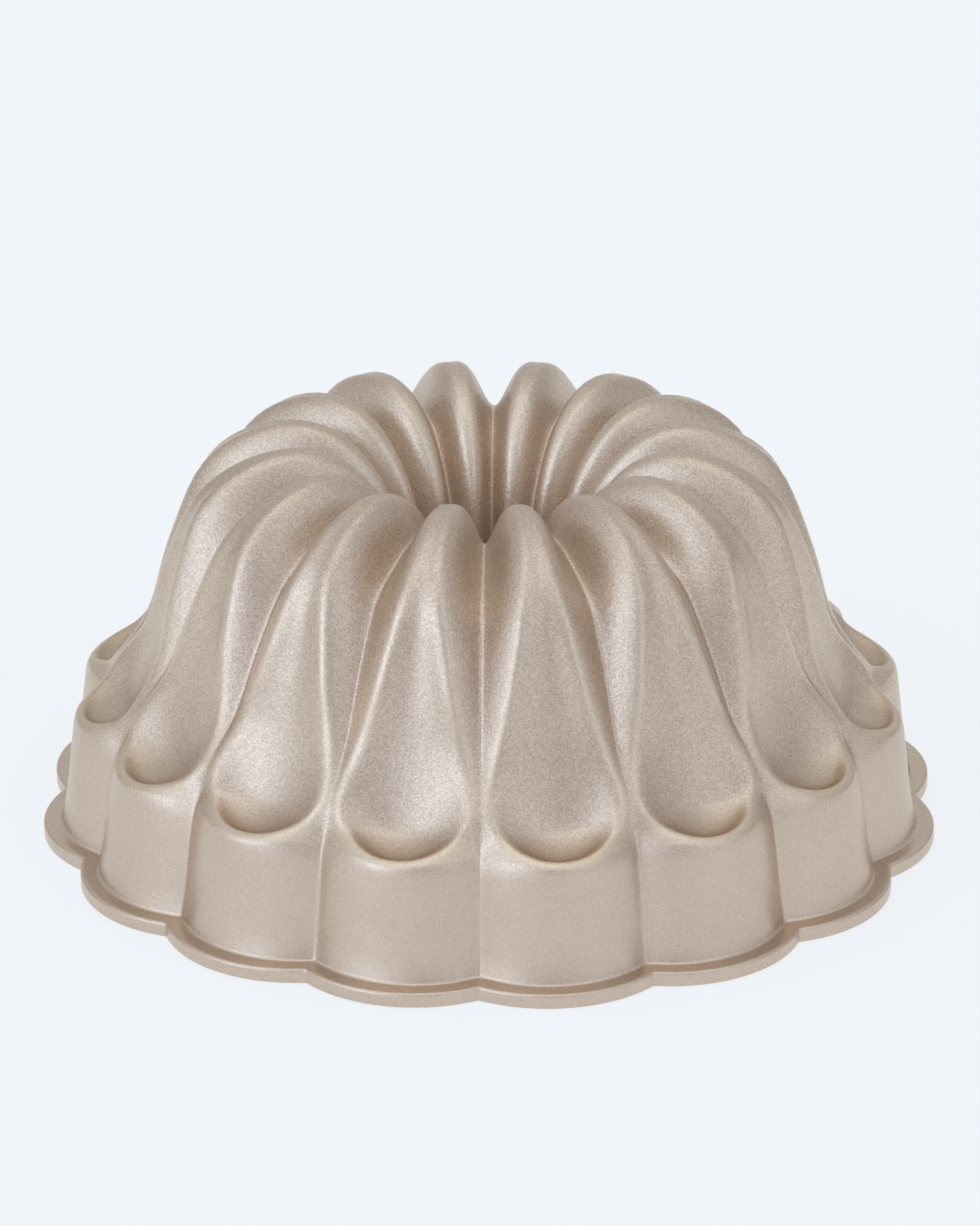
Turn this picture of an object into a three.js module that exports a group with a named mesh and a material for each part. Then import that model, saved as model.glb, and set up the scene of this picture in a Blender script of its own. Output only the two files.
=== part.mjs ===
// Kugelhopf mould, standing upside down on its rim: a cast ring mould with
// sixteen flutes, a teardrop hollow pressed into the outside of every flute,
// a scalloped rim flange and an open centre tube.
// Three pieces lie one inside the other: the champagne coat outside, the cast
// aluminium body, and the non-stick lining of the cake side.
// Millimetres, +Z up. Origin: centre of the rim plane (z = 0). A groove
// between two flutes points to -Y.
import * as THREE from 'three';

// ---- driving dimensions -------------------------------------------------
const LOBES = 16;                 // flutes round the ring
const COLS = 6;                   // mesh columns on one flute
const RIM_ARC_CENTRE = 92;        // rim scallop: arc centre, from the axis
const RIM_ARC_RADIUS = 38;        // rim scallop: arc radius (tips at 130)
const RIM_CUSP_BLEND = 0.9;       // rounding of the inward cusps
const RIM_THICK = 4.3;            // flange thickness
const RIM_EDGE = 1.0;             // chamfer of the flange's upper edge
const FOOT_FILLET = 1.4;          // wall-to-flange fillet
const COAT = 0.4;                 // champagne coat, thicker than real
const GAP = 0.2;                  // clearance between the layers
const WALL = 2.8;                 // cast wall, measured along the rays
const SKIN_FOOT = 0.4;            // coats stop this far above the rim plane
const LIP_SHIFT = 2.5;            // the cast floor under the lip keeps its wall
const GROOVE_ROUND = 0.45;        // rounding of the grooves between flutes
const WEB_ROUND = 1.1;            // rounding of the web between two hollows
const VALLEY = 0.2;               // share of the flute that keeps a V-shaped groove
const RIDGE_ROUND = 2.6;          // rounding of hollow edges outside
const RIDGE_ROUND_IN = 3.0;       // and on the cake side
const BEAD = 2.6;                 // radius of the bead along the lip
const POCKET = 0.9;               // dip of the hollow's floor behind the lip
const POCKET_IN = 1.0;            // and on the cake side

// Groove profile (radius, height) from the rim up the outside, over the crown
// and down the inside of the centre tube.
const GROOVE = [
  [117.73, 4.3], [116.03, 12.97], [113.72, 27.27], [111.45, 35.81], [108.63, 41.17],
  [105.24, 48.03], [97.38, 57.45], [90.72, 69.85], [83.73, 83.07], [74.8, 94.4],
  [64.5, 98.9], [55.4, 101.9], [47.21, 101.5], [41.01, 97.0], [36.31, 91.12],
  [31.75, 82.36], [27.5, 70.0], [23.0, 48.0], [20.0, 26.0], [18.5, 6.0],
];
// Direction (degrees above the horizontal) in which each flute bulges there.
const RAY_DEG = [0, 4, 12, 19, 24, 28, 31, 32, 36, 48, 66, 90, 113, 130, 141, 152, 160, 167, 170, 172];
// Flute height over the groove, against the distance along the groove profile.
const BULGE_U = [0, 8.84, 23.3, 28, 31.5, 33.5, 36, 39.5, 45.9, 58.2, 72.3, 87.2, 101.7, 112.9, 122.5, 130.7, 138.4, 145.9, 155.8, 168.9, 191.4, 213.6, 233.7];
const BULGE = [6.9, 6.9, 7.55, 8.0, 8.3, 8.0, 6.6, 5.3, 5.2, 6.56, 8.26, 10.02, 12.0, 14.2, 13.0, 10.5, 9.19, 8.12, 7.08, 5.09, 2.88, 1.33, 0.44];
// The two exponents of the flute's cross-section.
const BELL_P = [2.1, 2.1, 2.05, 1.9, 1.8, 2.0, 2.1, 2.15, 2.2, 2.5, 3.1, 3.1, 2.9, 2.6, 2.4, 2.25, 2.15, 2.1, 2.05, 2.0];
const BELL_Q = [1, 1, 1, 1, 1, 1, 1, 1.05, 1.25, 1.9, 2.9, 2.7, 2.0, 1.5, 1.25, 1.15, 1.1, 1.1, 1.1, 1.1];
// Teardrop hollow: depth under the flute's crest and steepness of its sides,
// against the distance along the groove profile.
const HOLLOW_U = [32.0, 32.35, 32.7, 33.1, 33.8, 35.4, 37.6, 40.5, 44.05, 48.19, 52.57, 57.4, 62.27, 67.09, 72.55, 78.06, 83.38, 88.47, 93.08, 97.8, 108];
const HOLLOW_DEPTH = [0, 1.85, 3.4, 4.8, 6.3, 8.0, 9.0, 9.6, 9.9, 9.39, 8.29, 7.18, 6.48, 6.1, 5.78, 5.39, 4.71, 3.89, 3.04, 1.75, 0];
const HOLLOW_STEEP = [52, 50.8, 47.3, 43.1, 35.5, 25.3, 18.95, 15.26, 13.48, 12.46, 11.5, 11.45, 12.4, 14.4, 17.6, 21.1, 22.9, 25.3, 27.7, 29.9, 30];
// Mesh rows along the groove profile, outside and on the cake side, and mesh
// columns across one flute (-1 and 1 are the grooves).
const ROWS = [20, 30.6, 32.2, 33.6, 39, 50, 64, 84, 102, 113, 124, 140, 166];
const ROWS_IN = [20, 29.5, 32.5, 40, 54, 76, 98, 112, 126, 150];
const ACROSS = [-1, -0.8, -0.42, 0, 0.42, 0.8];

// ---- curves -------------------------------------------------------------
const SEG = Math.PI / LOBES;

function naturalSpline(xs, ys) {
  const n = xs.length;
  const m = new Array(n).fill(0);
  const c = new Array(n).fill(0);
  const d = new Array(n).fill(0);
  for (let i = 1; i < n - 1; i++) {
    const h0 = xs[i] - xs[i - 1];
    const h1 = xs[i + 1] - xs[i];
    const rhs = 6 * ((ys[i + 1] - ys[i]) / h1 - (ys[i] - ys[i - 1]) / h0);
    const w = 2 * (h0 + h1) - h0 * c[i - 1];
    c[i] = h1 / w;
    d[i] = (rhs - h0 * d[i - 1]) / w;
  }
  for (let i = n - 2; i > 0; i--) m[i] = d[i] - c[i] * m[i + 1];
  return (x) => {
    let i = 0;
    while (i < n - 2 && x > xs[i + 1]) i++;
    const h = xs[i + 1] - xs[i];
    const a = (xs[i + 1] - x) / h;
    const b = (x - xs[i]) / h;
    return a * ys[i] + b * ys[i + 1] + ((a ** 3 - a) * m[i] + (b ** 3 - b) * m[i + 1]) * h * h / 6;
  };
}

function monotone(xs, ys) {
  const n = xs.length;
  const h = [];
  const s = [];
  for (let i = 0; i < n - 1; i++) {
    h.push(xs[i + 1] - xs[i]);
    s.push((ys[i + 1] - ys[i]) / h[i]);
  }
  const m = new Array(n).fill(0);
  m[0] = s[0];
  m[n - 1] = s[n - 2];
  for (let i = 1; i < n - 1; i++) {
    if (s[i - 1] * s[i] <= 0) continue;
    const w1 = 2 * h[i] + h[i - 1];
    const w2 = h[i] + 2 * h[i - 1];
    m[i] = (w1 + w2) / (w1 / s[i - 1] + w2 / s[i]);
  }
  return (x) => {
    let i = 0;
    while (i < n - 2 && x > xs[i + 1]) i++;
    const t = (x - xs[i]) / h[i];
    return ys[i] * (1 + 2 * t) * (1 - t) ** 2 + m[i] * h[i] * t * (1 - t) ** 2
      + ys[i + 1] * t * t * (3 - 2 * t) + m[i + 1] * h[i] * t * t * (t - 1);
  };
}

const station = [0];
for (let i = 1; i < GROOVE.length; i++) {
  station.push(station[i - 1] + Math.hypot(GROOVE[i][0] - GROOVE[i - 1][0], GROOVE[i][1] - GROOVE[i - 1][1]));
}
const U_END = station[station.length - 1];
const grooveR = naturalSpline(station, GROOVE.map((g) => g[0]));
const grooveZ = naturalSpline(station, GROOVE.map((g) => g[1]));
const rayDeg = monotone(station, RAY_DEG);
const bulge = monotone(BULGE_U, BULGE);
const bellP = monotone(station, BELL_P);
const bellQ = monotone(station, BELL_Q);
const depthAt = monotone(HOLLOW_U, HOLLOW_DEPTH);
const steepAt = monotone(HOLLOW_U, HOLLOW_STEEP);

function roundedPositive(g, k) {
  if (g > k) return g;
  if (g < -k) return 0;
  return (g + k) ** 2 / (4 * k);
}

// A corner rounded to this radius, where a flat turns into a fall of this slope.
function rounded(reach, slope, radius) {
  const hyp = Math.hypot(1, slope);
  const s = Math.max(0, reach / slope + radius * (hyp - 1) / slope);
  return s > radius * slope / hyp ? reach : radius - Math.sqrt(radius * radius - s * s);
}

function smooth(t) {
  const c = Math.min(1, Math.max(0, t));
  return c * c * (3 - 2 * c);
}

// Signed reach of the hollow at (u, x); positive inside the teardrop.
function hollow(u, x, lipSlope) {
  const u0 = HOLLOW_U[0];
  const u1 = HOLLOW_U[HOLLOW_U.length - 1];
  const uc = Math.min(Math.max(u, u0), u1);
  let depth = depthAt(uc);
  if (u < u0) depth = (u - u0) * lipSlope;
  if (u > u1) depth = -(u - u1) * 0.15;
  return depth - steepAt(uc) * x * x;
}

// Height of the skin over the groove along the ray, and the dip of the floor
// behind the lip.
function flute(u, x, off, inside) {
  const bell = Math.max(0, 1 - Math.abs(x) ** bellP(u));
  const arch = bulge(Math.min(u, BULGE_U[BULGE_U.length - 1])) * ((1 - VALLEY) * bell ** bellQ(u) + VALLEY * bell);
  const fillet = GROOVE_ROUND + (WEB_ROUND - GROOVE_ROUND) * Math.exp(-(((u - 41.5) / 4) ** 2));
  const us = u + (inside ? LIP_SHIFT * Math.min(1, Math.max(0, (62 - u) / 12)) : 0);
  const fade = smooth((38.2 - us) / 5);
  let g;
  let dip;
  if (inside) {
    g = roundedPositive(hollow(us, x, 1.2), RIDGE_ROUND_IN);
    dip = POCKET_IN * fade * (g / 3) * Math.exp(1 - g / 3);
  } else {
    const reach = hollow(us, x, 5.2);
    const su = (hollow(us + 0.2, x, 5.2) - hollow(us - 0.2, x, 5.2)) / 0.4;
    const uc = Math.min(Math.max(us, HOLLOW_U[0]), HOLLOW_U[HOLLOW_U.length - 1]);
    const slope = Math.max(0.3, Math.hypot(su, 2 * steepAt(uc) * x / (118 * SEG)));
    const w = smooth((us - 37) / 9);
    g = (1 - w) * rounded(reach, slope, BEAD) + w * roundedPositive(reach, RIDGE_ROUND);
    const behind = Math.max(0, g - 0.5 * BEAD) / 3;
    dip = POCKET * fade * behind ** 1.5 * Math.exp(1.5 * (1 - behind));
  }
  dip += off * Math.min(g / 2, 1) * Math.min(1, Math.max(0, (42 - us) / 6));
  return [Math.hypot(arch, fillet) - g - off, dip];
}

function rimRadius(x) {
  const at = (a) => RIM_ARC_CENTRE * Math.cos(a) + Math.sqrt(RIM_ARC_RADIUS ** 2 - (RIM_ARC_CENTRE * Math.sin(a)) ** 2);
  const a = Math.abs(x) * SEG;
  const near = at(a);
  const far = at(2 * SEG - a);
  const t = Math.max(RIM_CUSP_BLEND - Math.abs(near - far), 0) / RIM_CUSP_BLEND;
  return Math.max(near, far) + t * t * RIM_CUSP_BLEND / 4;
}

// ---- rings --------------------------------------------------------------
// One ring = [radius, height] for every column of every flute.
function ring(pointAt) {
  const pts = [];
  for (let k = 0; k < LOBES; k++) {
    for (let c = 0; c < COLS; c++) {
      const x = ACROSS[c];
      const a = (2 * k + 1 + x) * SEG;
      const [r, z] = pointAt(x);
      pts.push([r * Math.sin(a), -r * Math.cos(a), z]);
    }
  }
  return pts;
}

function skinPoint(u, x, off, inside = false) {
  const a = rayDeg(u) * Math.PI / 180;
  const [h, dip] = flute(u, x, off, inside);
  return [grooveR(u) + h * Math.cos(a), grooveZ(u) + h * Math.sin(a) - dip];
}

// Outside of the mould, from the rim edge to the end of the centre tube.
function outerRings(off, foot) {
  const rings = [
    ring((x) => [rimRadius(x) - off, foot]),
    ring((x) => [rimRadius(x) - off, RIM_THICK - RIM_EDGE - 0.41 * off]),
    ring((x) => [rimRadius(x) - RIM_EDGE - 0.41 * off, RIM_THICK - off]),
    ring((x) => [skinPoint(0, x, off)[0] + FOOT_FILLET + 0.41 * off, RIM_THICK - off]),
    ring((x) => skinPoint(FOOT_FILLET, x, off)),
  ];
  for (const u of ROWS) rings.push(ring((x) => skinPoint(u, x, off)));
  rings.push(ring((x) => skinPoint(U_END, x, off)));
  return rings;
}

// Cake side, from the end of the centre tube back to the rim plane.
function innerRings(off, foot) {
  const rings = [ring((x) => skinPoint(U_END, x, off))];
  for (const u of [...ROWS_IN].reverse()) rings.push(ring((x) => skinPoint(u, x, off, true)));
  rings.push(ring((x) => skinPoint(FOOT_FILLET, x, off)));
  rings.push(ring((x) => {
    const [r, z] = skinPoint(FOOT_FILLET, x, off);
    return [r + (z - foot) * 0.18, foot];
  }));
  return rings;
}

// A closed body: rings going out along the profile, then rings coming back.
// Facets keep the same diagonals both ways, so nested layers stay parallel.
function closedBody(out, back) {
  const n = LOBES * COLS;
  const rings = [...out, ...back];
  const position = [];
  for (const r of rings) for (const p of r) position.push(...p);
  const index = [];
  for (let i = 0; i < rings.length; i++) {
    const j = (i + 1) % rings.length;
    const outward = i < out.length;
    for (let c = 0; c < n; c++) {
      const d = (c + 1) % n;
      const a = i * n + c;
      const b = i * n + d;
      const e = j * n + c;
      const f = j * n + d;
      if ((c % COLS < COLS / 2) === outward) index.push(a, b, f, a, f, e);
      else index.push(a, b, e, b, f, e);
    }
  }
  const g = new THREE.BufferGeometry();
  g.setAttribute('position', new THREE.Float32BufferAttribute(position, 3));
  g.setIndex(index);
  g.computeVertexNormals();
  return g;
}

// ---- the mould ----------------------------------------------------------
const mould = new THREE.Group();
mould.name = 'kugelhopf_mould';

function add(name, out, back, material) {
  const mesh = new THREE.Mesh(closedBody(out, back), material);
  mesh.name = name;
  mould.add(mesh);
}

const BODY_OUT = COAT + GAP;
const BODY_IN = BODY_OUT + WALL;
const LINING_OUT = BODY_IN + GAP;
const LINING_IN = LINING_OUT + COAT;

add('outer_coat', outerRings(0, SKIN_FOOT), outerRings(COAT, SKIN_FOOT).reverse(),
  new THREE.MeshStandardMaterial({ color: 0xc6b5a3, roughness: 0.42, metalness: 0.85 }));

add('cast_body', outerRings(BODY_OUT, 0), innerRings(BODY_IN, 0),
  new THREE.MeshStandardMaterial({ color: 0xb9b6b0, roughness: 0.5, metalness: 1.0 }));

add('inner_lining', innerRings(LINING_OUT, SKIN_FOOT).reverse(), innerRings(LINING_IN, SKIN_FOOT),
  new THREE.MeshStandardMaterial({ color: 0xa8968a, roughness: 0.35, metalness: 0.6 }));

export default mould;
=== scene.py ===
# Kugelhopf mould, upside down on its rim: fine surfaces and materials around
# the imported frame. Metres in the scene; the tables below are millimetres.
import math

import bpy
import numpy as np
from mathutils import Matrix


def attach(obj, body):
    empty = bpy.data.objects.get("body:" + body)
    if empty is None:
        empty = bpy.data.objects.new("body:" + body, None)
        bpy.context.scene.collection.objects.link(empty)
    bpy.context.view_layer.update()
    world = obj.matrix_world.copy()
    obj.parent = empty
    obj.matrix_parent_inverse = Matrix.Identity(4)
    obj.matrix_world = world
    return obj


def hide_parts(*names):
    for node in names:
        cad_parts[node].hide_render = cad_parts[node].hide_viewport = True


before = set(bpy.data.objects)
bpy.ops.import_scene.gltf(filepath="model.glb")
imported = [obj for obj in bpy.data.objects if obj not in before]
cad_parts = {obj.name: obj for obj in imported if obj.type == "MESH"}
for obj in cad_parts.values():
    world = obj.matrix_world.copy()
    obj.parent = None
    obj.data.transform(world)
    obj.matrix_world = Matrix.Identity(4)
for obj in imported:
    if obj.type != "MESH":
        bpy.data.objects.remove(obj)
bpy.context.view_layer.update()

# ---------------------------------------------------------------- dimensions
LOBES = 16
COLS = 40                      # mesh columns on one flute
SEG = math.pi / LOBES
RIM_ARC_CENTRE, RIM_ARC_RADIUS, RIM_CUSP_BLEND = 92.0, 38.0, 0.9
RIM_THICK = 4.3
COAT = 0.4
WALL_IN = 3.4                  # casting's inner skin, along the rays
LINING = 0.4
LIP_SHIFT = 2.5
GROOVE_ROUND, WEB_ROUND = 0.45, 1.1   # groove fillet, and the web between two hollows
RIDGE_ROUND, ROUND_IN = 2.6, 3.0
BEAD = 3.0                     # radius of the bead along the lip
POCKET, POCKET_IN = 0.9, 1.0   # how far the floor dips behind the lip

GROOVE = np.array([
    (117.73, 4.3), (116.03, 12.97), (113.72, 27.27), (111.45, 35.81), (108.63, 41.17),
    (105.24, 48.03), (97.38, 57.45), (90.72, 69.85), (83.73, 83.07), (74.8, 94.4),
    (64.5, 98.9), (55.4, 101.9), (47.21, 101.5), (41.01, 97.0), (36.31, 91.12),
    (31.75, 82.36), (27.5, 70.0), (23.0, 48.0), (20.0, 26.0), (18.5, 6.0)])
RAY_DEG = [0, 4, 12, 19, 24, 28, 31, 32, 36, 48, 66, 90, 113, 130, 141, 152, 160, 167, 170, 172]
BULGE_U = [0, 8.84, 23.3, 28, 31.5, 33.5, 36, 39.5, 45.9, 58.2, 72.3, 87.2, 101.7, 112.9, 122.5, 130.7, 138.4, 145.9, 155.8, 168.9, 191.4, 213.6, 233.7]
BULGE = [6.9, 6.9, 7.55, 8.0, 8.3, 8.0, 6.6, 5.3, 5.2, 6.56, 8.26, 10.02, 12.0, 14.2, 13.0, 10.5, 9.19, 8.12, 7.08, 5.09, 2.88, 1.33, 0.44]
BELL_P = [2.1, 2.1, 2.05, 1.9, 1.8, 2.0, 2.1, 2.15, 2.2, 2.5, 3.1, 3.1, 2.9, 2.6, 2.4, 2.25, 2.15, 2.1, 2.05, 2.0]
BELL_Q = [1, 1, 1, 1, 1, 1, 1, 1.05, 1.25, 1.9, 2.9, 2.7, 2.0, 1.5, 1.25, 1.15, 1.1, 1.1, 1.1, 1.1]
VALLEY = 0.2                   # share of the flute that keeps a V-shaped groove
HOLLOW_U = [32.0, 32.35, 32.7, 33.1, 33.8, 35.4, 37.6, 40.5, 44.05, 48.19, 52.57, 57.4, 62.27, 67.09, 72.55, 78.06, 83.38, 88.47, 93.08, 97.8, 108]
HOLLOW_DEPTH = [0, 1.85, 3.4, 4.8, 6.3, 8.0, 9.0, 9.6, 9.9, 9.39, 8.29, 7.18, 6.48, 6.1, 5.78, 5.39, 4.71, 3.89, 3.04, 1.75, 0]
HOLLOW_STEEP = [52, 50.8, 47.3, 43.1, 35.5, 25.3, 18.95, 15.26, 13.48, 12.46, 11.5, 11.45, 12.4, 14.4, 17.6, 21.1, 22.9, 25.3, 27.7, 29.9, 30]


# -------------------------------------------------------------------- curves
def natural_spline(xs, ys, x):
    n, h = len(xs), np.diff(xs)
    a = np.zeros((n, n))
    b = np.zeros(n)
    a[0, 0] = a[-1, -1] = 1
    for i in range(1, n - 1):
        a[i, i - 1:i + 2] = h[i - 1], 2 * (h[i - 1] + h[i]), h[i]
        b[i] = 6 * ((ys[i + 1] - ys[i]) / h[i] - (ys[i] - ys[i - 1]) / h[i - 1])
    m = np.linalg.solve(a, b)
    i = np.clip(np.searchsorted(xs, x) - 1, 0, n - 2)
    p, q = (xs[i + 1] - x) / h[i], (x - xs[i]) / h[i]
    return p * ys[i] + q * ys[i + 1] + ((p**3 - p) * m[i] + (q**3 - q) * m[i + 1]) * h[i] ** 2 / 6


def monotone(xs, ys, x):
    xs, ys = np.asarray(xs, float), np.asarray(ys, float)
    h = np.diff(xs)
    s = np.diff(ys) / h
    m = np.zeros(len(xs))
    m[0], m[-1] = s[0], s[-1]
    for i in range(1, len(xs) - 1):
        if s[i - 1] * s[i] > 0:
            w1, w2 = 2 * h[i] + h[i - 1], h[i] + 2 * h[i - 1]
            m[i] = (w1 + w2) / (w1 / s[i - 1] + w2 / s[i])
    i = np.clip(np.searchsorted(xs, x) - 1, 0, len(xs) - 2)
    t = (x - xs[i]) / h[i]
    return (ys[i] * (1 + 2 * t) * (1 - t) ** 2 + m[i] * h[i] * t * (1 - t) ** 2
            + ys[i + 1] * t * t * (3 - 2 * t) + m[i + 1] * h[i] * t * t * (t - 1))


def soften(y, step, sigma):
    n = int(4 * sigma / step)
    k = np.exp(-0.5 * (np.arange(-n, n + 1) * step / sigma) ** 2)
    k /= k.sum()
    pad = np.concatenate([2 * y[0] - y[n:0:-1], y, 2 * y[-1] - y[-2:-n - 2:-1]])
    return np.convolve(pad, k, "valid")


STATION = np.concatenate([[0], np.cumsum(np.hypot(*np.diff(GROOVE, axis=0).T))])
U_END = STATION[-1]
STEP = 0.05
UG = np.arange(0, U_END + STEP, STEP)
UC = np.clip(UG, 0, U_END)
T_R = natural_spline(STATION, GROOVE[:, 0], UC)
T_Z = natural_spline(STATION, GROOVE[:, 1], UC)
T_RAY = np.radians(soften(monotone(STATION, RAY_DEG, UC), STEP, 2.5))
T_BULGE = monotone(BULGE_U, BULGE, np.minimum(UC, BULGE_U[-1]))
T_P = soften(monotone(STATION, BELL_P, UC), STEP, 3.0)
T_Q = soften(monotone(STATION, BELL_Q, UC), STEP, 3.0)
_uc = np.clip(UC, HOLLOW_U[0], HOLLOW_U[-1])
_d = monotone(HOLLOW_U, HOLLOW_DEPTH, _uc)
_k = monotone(HOLLOW_U, HOLLOW_STEEP, _uc)
_half = np.sqrt(_d / _k)
_d = np.where(UC > HOLLOW_U[-1], -(UC - HOLLOW_U[-1]) * 0.15, _d)
_din = np.where(UC < HOLLOW_U[0], (UC - HOLLOW_U[0]) * 1.2, _d)
_d = np.where(UC < HOLLOW_U[0], (UC - HOLLOW_U[0]) * 5.2, _d)
_w = np.clip((UC - 38) / 8, 0, 1)
_w = _w * _w * (3 - 2 * _w)
T_BULGE = soften(T_BULGE, STEP, 1.0) * (1 - _w) + soften(T_BULGE, STEP, 3.0) * _w
T_DEPTH = soften(_d, STEP, 0.35) * (1 - _w) + soften(_d, STEP, 2.5) * _w
T_DEPTH_IN = soften(_din, STEP, 0.5) * (1 - _w) + soften(_din, STEP, 2.5) * _w
T_STEEP = soften(_k, STEP, 0.6) * (1 - _w) + soften(_k, STEP, 2.5) * _w
T_DEPTH_U = np.gradient(T_DEPTH, STEP)
T_STEEP_U = np.gradient(T_STEEP, STEP)


def at(table, u):
    return np.interp(u, UG, table)


def rounded_positive(g, k):
    return np.where(g > k, g, np.where(g < -k, 0, (g + k) ** 2 / (4 * k)))


def bead(reach, slope, radius):
    """A corner rounded to this radius, where a flat turns into a fall of this slope."""
    hyp = np.sqrt(1 + slope**2)
    s = np.maximum(reach / slope + radius * (hyp - 1) / slope, 0)
    end = radius * slope / hyp
    return np.where(s > end, reach, radius - np.sqrt(radius**2 - np.minimum(s, end) ** 2))


def flute(u, x, shift, inside, off=0.0):
    """Height over the groove along the ray, and the dip behind the lip. u is a column, x rows by columns."""
    bell = np.maximum(0, 1 - np.abs(x) ** at(T_P, u))
    arch = at(T_BULGE, u) * ((1 - VALLEY) * bell ** at(T_Q, u) + VALLEY * bell)
    fillet = GROOVE_ROUND + (WEB_ROUND - GROOVE_ROUND) * np.exp(-((u - 41.5) / 4.0) ** 2)
    us = u + shift * np.clip((62 - u) / 12, 0, 1)
    steep = at(T_STEEP, us)
    near = np.clip((42 - us) / 6, 0, 1)
    fade = np.clip((38.2 - us) / 5, 0, 1)
    fade = fade * fade * (3 - 2 * fade)
    if inside:
        g = rounded_positive(at(T_DEPTH_IN, us) - steep * x * x, ROUND_IN)
        dip = POCKET_IN * fade * (g / 3) * np.exp(1 - g / 3)
    else:
        reach = at(T_DEPTH, us) - steep * x * x
        slope = np.hypot(at(T_DEPTH_U, us) - at(T_STEEP_U, us) * x * x, 2 * steep * x / (118 * SEG))
        w = np.clip((us - 37) / 9, 0, 1)
        w = w * w * (3 - 2 * w)
        g = (1 - w) * bead(reach, np.maximum(slope, 0.3), BEAD) + w * rounded_positive(reach, RIDGE_ROUND)
        behind = np.maximum(g - 0.5 * BEAD, 0) / 3
        dip = POCKET * fade * behind**1.5 * np.exp(1.5 * (1 - behind))
    dip = dip + off * np.minimum(g / 2, 1) * near
    return np.hypot(arch, fillet) - g - off, dip


# the ridge of the hollow: mesh columns run along it
_c = np.where(UC < 34.5, 0.54, np.clip(_half, 0.4, 0.85))
T_RIDGE = soften(_c, STEP, 2.0)
RIDGE_AT = 0.55
_s = -1 + 2 * np.arange(COLS) / COLS


def columns(u):
    """Places of the columns across one flute at every u, crowded at ridges and grooves."""
    c = at(T_RIDGE, np.atleast_1d(np.asarray(u, float)))[:, None]
    t = np.abs(_s)[None, :]
    v = np.minimum(t / RIDGE_AT, 1)
    w = np.maximum((t - RIDGE_AT) / (1 - RIDGE_AT), 0)
    x = c * (1.3 * v - 0.3 * v**3) + (1 - c) * (w - 0.72 * np.sin(2 * np.pi * w) / (2 * np.pi))
    return np.sign(_s)[None, :] * x


def place(u, x):
    """Points of the outer skin on the flute next to the front groove."""
    fold = np.where(np.abs(x) > 1, 2 - np.abs(x), np.abs(x))
    h, dip = flute(u, fold, 0.0, False)
    a, turn = at(T_RAY, u), (1 + x) * SEG
    r = at(T_R, u) + h * np.cos(a)
    return np.stack([r * np.sin(turn), -r * np.cos(turn), at(T_Z, u) + h * np.sin(a) - dip], -1)


def under(u, off):
    """The outer skin moved into the metal by off along its normals."""
    u = np.atleast_1d(np.asarray(u, float))[:, None]
    x = columns(u[:, 0])
    n = np.cross(place(u, x + 0.004) - place(u, x - 0.004), place(u + 0.03, x) - place(np.maximum(u - 0.03, 0), x))
    p = place(u, x) - off * n / np.linalg.norm(n, axis=-1, keepdims=True)
    return np.arctan2(p[..., 0], -p[..., 1]) / SEG - 1, np.hypot(p[..., 0], p[..., 1]), p[..., 2]


def tints(u, x):
    """Painted light in the coat colour: a painted highlight along ridges and lips, painted shade behind the lips, and
    painted light up the central funnel.
    """
    u = u[:, None]
    steep = at(T_STEEP, u)
    reach = at(T_DEPTH, u) - steep * x * x
    slope = np.maximum(np.hypot(at(T_DEPTH_U, u) - at(T_STEEP_U, u) * x * x, 2 * steep * x / (118 * SEG)), 0.3)
    live = np.clip((u - 27) / 3, 0, 1) * np.clip((104 - u) / 20, 0, 1)
    # painted highlight along the ridges and the bead of the lip
    painted_ridge_highlight = np.exp(-((reach / slope + 0.7) / 1.25) ** 2) * live
    # painted shade in the dark crescent just behind the lips
    painted_lip_shade = np.clip((38.5 - u) / 4, 0, 1) * np.clip(reach - 0.2, 0, 1) * np.exp(-(np.maximum(reach - 2.5, 0) / 4.0) ** 2)
    painted_lip_shade = painted_lip_shade * np.clip(1.25 - 2 * x * x, 0, 1)
    # returned: painted highlight, painted shade, and painted light up the central funnel
    return painted_ridge_highlight, painted_lip_shade, np.clip((u - 124) / 16, 0, 1) + 0 * x


def skin(u, off, shift=0.0, inside=False):
    """(x, radius, height) arrays of the skin, rows along u and columns across one flute."""
    u = np.atleast_1d(np.asarray(u, float))
    if off and not inside:
        return under(u, off)
    x = columns(u)
    h, dip = flute(u[:, None], x, shift, inside, off)
    a = at(T_RAY, u)[:, None]
    return x, at(T_R, u)[:, None] + h * np.cos(a), at(T_Z, u)[:, None] + h * np.sin(a) - dip


def rim_radius(x):
    def arc(a):
        return RIM_ARC_CENTRE * np.cos(a) + np.sqrt(RIM_ARC_RADIUS**2 - (RIM_ARC_CENTRE * np.sin(a)) ** 2)
    a = np.abs(x) * SEG
    near, far = arc(a), arc(2 * SEG - a)
    t = np.maximum(RIM_CUSP_BLEND - np.abs(near - far), 0) / RIM_CUSP_BLEND
    return np.maximum(near, far) + t * t * RIM_CUSP_BLEND / 4


# --------------------------------------------------------------------- rings
def rows_between(*spans):
    """spans: (from, to, step) pieces of the profile, joined."""
    out = [np.array([spans[0][0]])]
    for a, b, s in spans:
        n = max(1, int(round((b - a) / s)))
        out.append(a + (b - a) * np.arange(1, n + 1) / n)
    return np.concatenate(out)


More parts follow.
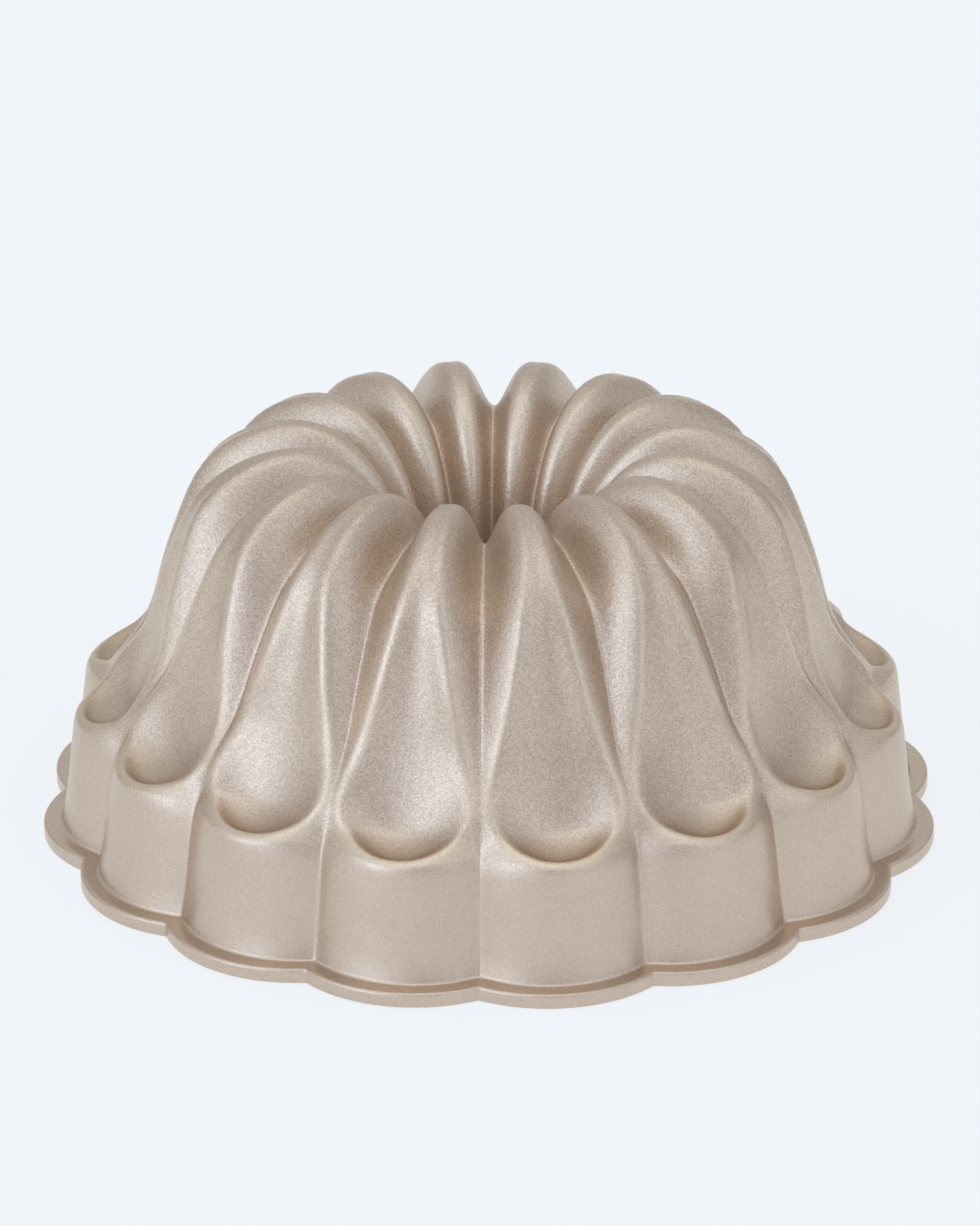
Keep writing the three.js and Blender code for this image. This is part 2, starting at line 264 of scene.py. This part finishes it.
def flange_rings(off, foot, fine=True):
    """Rim edge, its rounded upper edge, the ledge and the fillet up to the wall."""
    x, base, _ = (v[0] for v in skin(0.0, 0.0))
    base = base - off
    rim = rim_radius(x) - off
    flat = np.ones(COLS)
    rings = []
    edge, heel, fil = 0.9 - 0.41 * off, 0.5, 0.8
    for a in np.radians((0, 30, 60, 90) if fine else (90,)):
        rings.append((x, rim - heel * (1 - np.sin(a)), flat * (foot + heel * (1 - np.cos(a)))))
    rings.append((x, rim, flat * (RIM_THICK - off - edge - 0.3)))
    for a in np.radians((0, 22.5, 45, 67.5, 90) if fine else (0, 45, 90)):
        rings.append((x, rim - edge * (1 - np.cos(a)), flat * (RIM_THICK - off - edge * (1 - np.sin(a)))))
    inner, outer = base + fil, rim - edge
    for f in (0.3, 0.6, 0.85) if fine else (0.5,):
        rings.append((x, outer + (inner - outer) * f, flat * (RIM_THICK - off)))
    top_x, top_r, top_z = (v[0] for v in skin(fil, off))
    for a in np.radians((0, 22.5, 45, 67.5) if fine else (0, 45)):
        rings.append((x + (top_x - x) * (1 - np.cos(a)), inner - fil * np.sin(a) + (top_r - base) * (1 - np.cos(a)),
                      RIM_THICK - off + (top_z - RIM_THICK + off) * (1 - np.cos(a))))
    return rings


def skin_rings(us, off, shift=0.0, inside=False):
    return list(zip(*skin(us, off, shift, inside)))


def closed_body(name, rings):
    """A ring-shaped closed mesh: rings in cyclic order, each with COLS columns on every flute."""
    n = LOBES * COLS
    co = np.empty((len(rings), n, 3))
    for i, (x, r, z) in enumerate(rings):
        ang = ((2 * np.arange(LOBES)[:, None] + 1 + x[None, :]) * SEG).ravel()
        rr, zz = np.tile(r, LOBES), np.tile(z, LOBES)
        co[i] = np.stack([rr * np.sin(ang), -rr * np.cos(ang), zz], -1)
    co = co.reshape(-1, 3) / 1000.0
    i = np.arange(len(rings))[:, None]
    c = np.arange(n)[None, :]
    j, d = (i + 1) % len(rings), (c + 1) % n
    quads = np.stack([i * n + c, i * n + d, j * n + d, j * n + c], -1).reshape(-1, 4)
    me = bpy.data.meshes.new(name)
    me.vertices.add(len(co))
    me.vertices.foreach_set("co", co.astype(np.float32).ravel())
    me.loops.add(quads.size)
    me.loops.foreach_set("vertex_index", quads.astype(np.int32).ravel())
    me.polygons.add(len(quads))
    me.polygons.foreach_set("loop_start", np.arange(0, quads.size, 4, dtype=np.int32))
    me.update(calc_edges=True)
    me.validate()
    me.polygons.foreach_set("use_smooth", np.ones(len(quads), bool))
    me.update()
    ob = bpy.data.objects.new(name, me)
    bpy.context.scene.collection.objects.link(ob)
    return ob


FINE = rows_between((0.8, 28, 7), (28, 30.2, 0.55), (30.2, 31.6, 0.28), (31.6, 33.4, 0.129), (33.4, 35, 0.27),
                    (35, 38, 0.6), (38, 48, 1.25), (48, 104, 3.75), (104, 146, 2.8), (146, 176, 6.0),
                    (176, U_END - 1.6, 9.5), (U_END - 1.6, U_END, 0.8))
COARSE = rows_between((0.8, 28, 13), (28, 31.6, 0.9), (31.6, 33.4, 0.225), (33.4, 35, 0.4), (35, 38, 0.75), (38, 48, 2.5), (48, 60, 6),
                      (60, 146, 12.3), (146, U_END, 30))
INNER = rows_between((0.8, 26, 6), (26, 28, 1.0), (28, 32, 0.5), (32, 36, 1.0), (36, 56, 2.0), (56, 104, 4.0),
                     (104, 146, 3.0), (146, U_END, 11))

rim_rings = flange_rings(0.0, 0.05)
coat = closed_body("coat", rim_rings + skin_rings(FINE, 0.0)
                   + skin_rings(COARSE[::-1], COAT) + flange_rings(COAT, 0.05, False)[::-1])
# vertex attributes for the painted highlight, painted shade and painted light of the coat
for tint, values in zip(("painted_ridge_highlight", "painted_lip_shade", "painted_tube_light"), tints(FINE, columns(FINE))):
    full = np.zeros((len(coat.data.vertices) // (LOBES * COLS), LOBES * COLS), np.float32)
    full[len(rim_rings):len(rim_rings) + len(FINE)] = np.tile(values, LOBES)
    coat.data.attributes.new(tint, "FLOAT", "POINT").data.foreach_set("value", full.ravel())


def cake_side(us, off, foot):
    rings = skin_rings(us[::-1], off, LIP_SHIFT, True)
    x, r, z = rings[-1]
    rings += [(x, r + (z - foot) * 0.18 * f, z + (foot - z) * f) for f in (0.5, 0.85, 1.0)]
    return rings


body = closed_body("casting", flange_rings(COAT, 0.0, False) + skin_rings(COARSE, COAT)
                   + cake_side(INNER, WALL_IN, 0.0))
lining = closed_body("lining", cake_side(INNER, WALL_IN, 0.05)[::-1]
                     + cake_side(INNER, WALL_IN + LINING, 0.05))


# ----------------------------------------------------------------- materials
def srgb(r, g, b):
    def lin(v):
        v /= 255.0
        return v / 12.92 if v <= 0.04045 else ((v + 0.055) / 1.055) ** 2.4
    return lin(r), lin(g), lin(b), 1.0


class Nodes:
    def __init__(self, name):
        self.mat = bpy.data.materials.new(name)
        self.mat.use_nodes = True
        self.tree = self.mat.node_tree
        self.bsdf = self.tree.nodes["Principled BSDF"]

    def add(self, kind, **values):
        n = self.tree.nodes.new(kind)
        for k, v in values.items():
            if hasattr(n, k):
                setattr(n, k, v)
            else:
                n.inputs[k].default_value = v
        return n

    def link(self, a, b):
        self.tree.links.new(a, b)

    def math(self, op, a, b):
        n = self.add("ShaderNodeMath", operation=op)
        for i, v in enumerate((a, b)):
            if isinstance(v, (int, float)):
                n.inputs[i].default_value = v
            else:
                self.link(v, n.inputs[i])
        return n.outputs[0]


def metallic_coat(name, colour, dark, rough, grain_mm, spark, bump, tinted=()):
    m = Nodes(name)
    tc = m.add("ShaderNodeTexCoord")
    # pigment flakes: one random value per small cell
    cell = m.add("ShaderNodeTexVoronoi", feature="F1")
    cell.inputs["Scale"].default_value = 1000.0 / grain_mm
    m.link(tc.outputs["Object"], cell.inputs["Vector"])
    flake = m.add("ShaderNodeSeparateColor")
    m.link(cell.outputs["Color"], flake.inputs[0])
    # slow cloudiness of the sprayed coat
    cloud = m.add("ShaderNodeTexNoise")
    cloud.inputs["Scale"].default_value = 45.0
    cloud.inputs["Detail"].default_value = 3.0
    m.link(tc.outputs["Object"], cloud.inputs["Vector"])
    fine = m.add("ShaderNodeTexNoise")
    fine.inputs["Scale"].default_value = 900.0
    fine.inputs["Detail"].default_value = 2.0
    fine.inputs["Roughness"].default_value = 0.7
    m.link(tc.outputs["Object"], fine.inputs["Vector"])
    # colour: flakes and cloud
    # the grain is smoothed on the low wall
    xyz = m.add("ShaderNodeSeparateXYZ")
    m.link(tc.outputs["Object"], xyz.inputs[0])
    zone = m.add("ShaderNodeMapRange")
    for i, v in enumerate((0.033, 0.043, 0.4, 1.0)):
        zone.inputs[1 + i].default_value = v
    m.link(xyz.outputs["Z"], zone.inputs[0])
    zone = zone.outputs[0]
    tone = m.math("MULTIPLY_ADD", m.math("SUBTRACT", flake.outputs[0], 0.5), m.math("MULTIPLY", zone, spark))
    tone.node.inputs[2].default_value = 0.5
    tone2 = m.math("MULTIPLY_ADD", cloud.outputs["Fac"], 0.16)
    m.link(tone, tone2.node.inputs[2])
    ramp = m.add("ShaderNodeMix", data_type="RGBA")
    ramp.inputs[6].default_value = dark
    ramp.inputs[7].default_value = colour
    m.link(tone2, ramp.inputs[0])
    paint = ramp.outputs[2]
    # overlays of painted highlight, painted shade and painted light, mixed in by the mesh attributes
    for tint, tone, share in tinted:
        where = m.add("ShaderNodeAttribute", attribute_name=tint)
        over = m.add("ShaderNodeMix", data_type="RGBA")
        over.inputs[7].default_value = tone
        m.link(m.math("MULTIPLY", where.outputs["Fac"], share), over.inputs[0])
        m.link(paint, over.inputs[6])
        paint = over.outputs[2]
    m.link(paint, m.bsdf.inputs["Base Color"])
    # roughness varies from flake to flake
    rg = m.math("MULTIPLY_ADD", flake.outputs[1], 0.16)
    rg.node.inputs[2].default_value = rough - 0.08
    m.link(rg, m.bsdf.inputs["Roughness"])
    # blasted grain under the coat
    hgt = m.math("ADD", fine.outputs["Fac"], m.math("MULTIPLY", flake.outputs[2], 0.6))
    bp = m.add("ShaderNodeBump")
    m.link(m.math("MULTIPLY", zone, bump), bp.inputs["Strength"])
    bp.inputs["Distance"].default_value = 0.00012
    m.link(hgt, bp.inputs["Height"])
    m.link(bp.outputs["Normal"], m.bsdf.inputs["Normal"])
    m.bsdf.inputs["Metallic"].default_value = 1.0
    return m.mat


# champagne coat with a painted highlight on ridges and lips, painted shade behind the lips and painted light up the
# central funnel
coat_mat = metallic_coat("champagne coat", srgb(226, 209, 193.5), srgb(174, 154, 136), 0.34, 0.28, 0.7, 0.75,
                         (("painted_ridge_highlight", srgb(232, 215, 192), 0.4), ("painted_lip_shade", srgb(173, 150, 121), 0.55),
                          ("painted_tube_light", srgb(238, 224, 208), 0.3)))
lining_mat = metallic_coat("non-stick lining", srgb(170, 152, 138), srgb(140, 124, 112), 0.36, 0.6, 0.3, 0.15)
body_mat = metallic_coat("cast aluminium", srgb(214, 212, 208), srgb(184, 182, 178), 0.38, 0.8, 0.4, 0.2)

for ob, mat, node, slot in ((coat, coat_mat, "outer_coat", "champagne_coat"),
                            (body, body_mat, "cast_body", "cast_aluminium"),
                            (lining, lining_mat, "inner_lining", "nonstick_lining")):
    ob.data.materials.append(mat)
    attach(ob, "root")
    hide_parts(node)

# --------------------------------------------------------------------- stage
scene = bpy.context.scene
scene.view_settings.view_transform = "Standard"
scene.view_settings.look = "None"

me = bpy.data.meshes.new("floor")
s = 8.0
me.from_pydata([(-s, -s, 0), (s, -s, 0), (s, s, 0), (-s, s, 0)], [], [(0, 1, 2, 3)])
floor = bpy.data.objects.new("floor", me)
scene.collection.objects.link(floor)
floor.location.z = -0.0002
fm = bpy.data.materials.new("floor")
fm.use_nodes = True
nt = fm.node_tree
nt.nodes.clear()
out = nt.nodes.new("ShaderNodeOutputMaterial")
mix = nt.nodes.new("ShaderNodeMixShader")
em = nt.nodes.new("ShaderNodeEmission")
df = nt.nodes.new("ShaderNodeBsdfDiffuse")
em.inputs["Color"].default_value = srgb(241, 245, 249)
em.inputs["Strength"].default_value = 1.05
df.inputs["Color"].default_value = (0.8, 0.82, 0.84, 1)
mix.inputs[0].default_value = 0.2
nt.links.new(em.outputs[0], mix.inputs[1])
nt.links.new(df.outputs[0], mix.inputs[2])
nt.links.new(mix.outputs[0], out.inputs[0])
me.materials.append(fm)

world = bpy.data.worlds.new("studio")
scene.world = world
world.use_nodes = True
wt = world.node_tree
bg = wt.nodes["Background"]
wdir = wt.nodes.new("ShaderNodeTexCoord").outputs["Generated"]


def soft_light(azimuth, elevation, width, colour, before):
    """A soft patch of light on the studio walls: colour times cos(angle)**width, added to before."""
    a, e = math.radians(azimuth), math.radians(elevation)
    dot = wt.nodes.new("ShaderNodeVectorMath")
    dot.operation = "DOT_PRODUCT"
    dot.inputs[1].default_value = (math.cos(e) * math.sin(a), -math.cos(e) * math.cos(a), math.sin(e))
    wt.links.new(wdir, dot.inputs[0])
    pos = wt.nodes.new("ShaderNodeMath")
    pos.operation = "MAXIMUM"
    pos.inputs[1].default_value = 0.0
    wt.links.new(dot.outputs["Value"], pos.inputs[0])
    power = wt.nodes.new("ShaderNodeMath")
    power.operation = "POWER"
    power.inputs[1].default_value = width
    wt.links.new(pos.outputs[0], power.inputs[0])
    add = wt.nodes.new("ShaderNodeVectorMath")
    add.operation = "MULTIPLY_ADD"
    wt.links.new(power.outputs[0], add.inputs[0])
    add.inputs[1].default_value = colour
    if isinstance(before, tuple):
        add.inputs[2].default_value = before
    else:
        wt.links.new(before, add.inputs[2])
    return add.outputs[0]


studio = (0.48, 0.46, 0.46)                                            # walls
studio = soft_light(315, 14, 8, (1.14, 1.39, 1.75), studio)            # large soft box, front left
studio = soft_light(45, 20, 8, (0.40, 0.49, 0.61), studio)             # fill, front right
studio = soft_light(270, 20, 8, (0.23, 0.27, 0.28), studio)            # fills, left and right
studio = soft_light(90, 20, 8, (0.12, 0.15, 0.17), studio)
studio = soft_light(315, 55, 10, (0.30, 0.36, 0.42), studio)           # upper front
studio = soft_light(45, 55, 10, (0.19, 0.20, 0.20), studio)
studio = soft_light(0, 88, 6, (0.61, 0.68, 0.69), studio)              # overhead
studio = soft_light(180, 30, 4, (0.21, 0.25, 0.25), studio)            # back wall
wt.links.new(studio, bg.inputs["Color"])
bg.inputs["Strength"].default_value = 1.0

# -------------------------------------------------------------------- camera
cam = bpy.data.cameras.new("camera")
cam.sensor_width = 36.0
cam.lens = 5210.36 * 36.0 / 1226.0
cam.clip_start, cam.clip_end = 0.05, 50.0
cob = bpy.data.objects.new("camera", cam)
scene.collection.objects.link(cob)
turn, elev, roll = math.radians(1.4667), 0.4100485, -0.0028677
pos = np.array([0.1774, -1496.01 * math.cos(elev), 1496.01 * math.sin(elev) + 60.52]) / 1000
fw = np.array([0, math.cos(elev), -math.sin(elev)])
rt = np.array([1.0, 0, 0])
up = np.cross(rt, fw)
rt, up = math.cos(roll) * rt + math.sin(roll) * up, -math.sin(roll) * rt + math.cos(roll) * up
rz = np.array([[math.cos(turn), -math.sin(turn), 0], [math.sin(turn), math.cos(turn), 0], [0, 0, 1]])
pos, fw, rt, up = rz @ pos, rz @ fw, rz @ rt, rz @ up
cob.matrix_world = Matrix([[rt[i], up[i], -fw[i], pos[i]] for i in range(3)] + [[0, 0, 0, 1]])
scene.camera = cob
